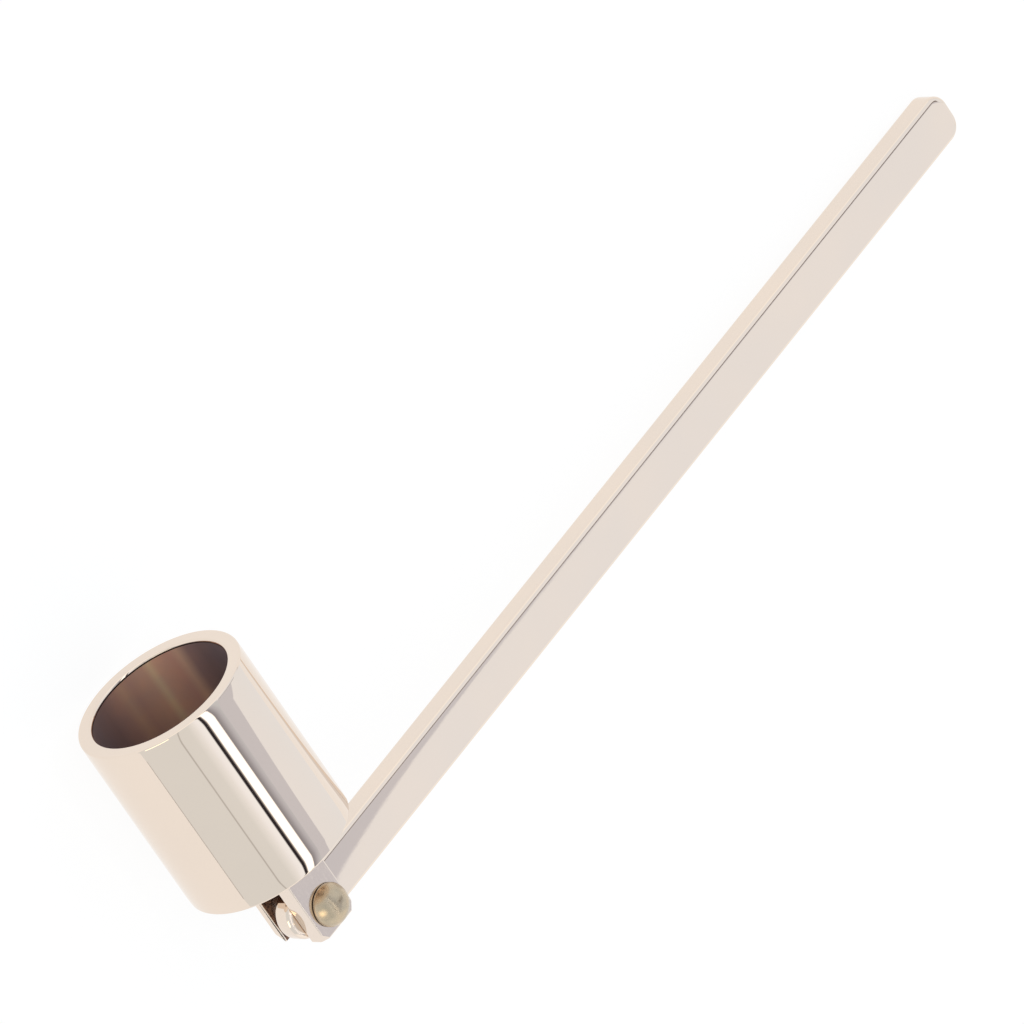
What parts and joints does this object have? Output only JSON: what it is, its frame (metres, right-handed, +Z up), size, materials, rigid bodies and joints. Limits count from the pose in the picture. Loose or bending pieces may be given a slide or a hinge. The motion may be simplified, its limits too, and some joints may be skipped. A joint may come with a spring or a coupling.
{
  "type": "candle snuffer",
  "caption": "Candle snuffer with a thick-walled cylindrical bell on a clevis hinge at the end of a long flat bar handle.",
  "frame": {"origin": "centre of the bounding box on the table that the snuffer lies on", "axes": "+X along the handle away from the hinge, +Y out of the bell's mouth, +Z up from the table"},
  "size_m": [0.2058, 0.0502, 0.03],
  "materials": {
    "plated_bell": "mirror polished champagne plating",
    "plated_clevis": "polished champagne plating with fine scratches",
    "plated_handle": "polished champagne plating",
    "rivet_brass": "aged polished brass",
    "washer_steel": "turned"
  },
  "bodies": {
    "handle": {"handle_bar": "plated_handle"},
    "bell": {"bell_cup": "plated_bell", "clevis": "plated_clevis", "rivet_post": "rivet_brass", "rivet_cap": "rivet_brass", "spacer_washer": "washer_steel"}
  },
  "joints": [
    {"name": "bell_swing", "type": "hinge", "parent": "handle", "child": "bell", "pos_m": [-0.08787, -0.0208, 0.015], "axis": [0.0636, 0, 0.998], "range_deg": [-23, 203]}
  ]
}
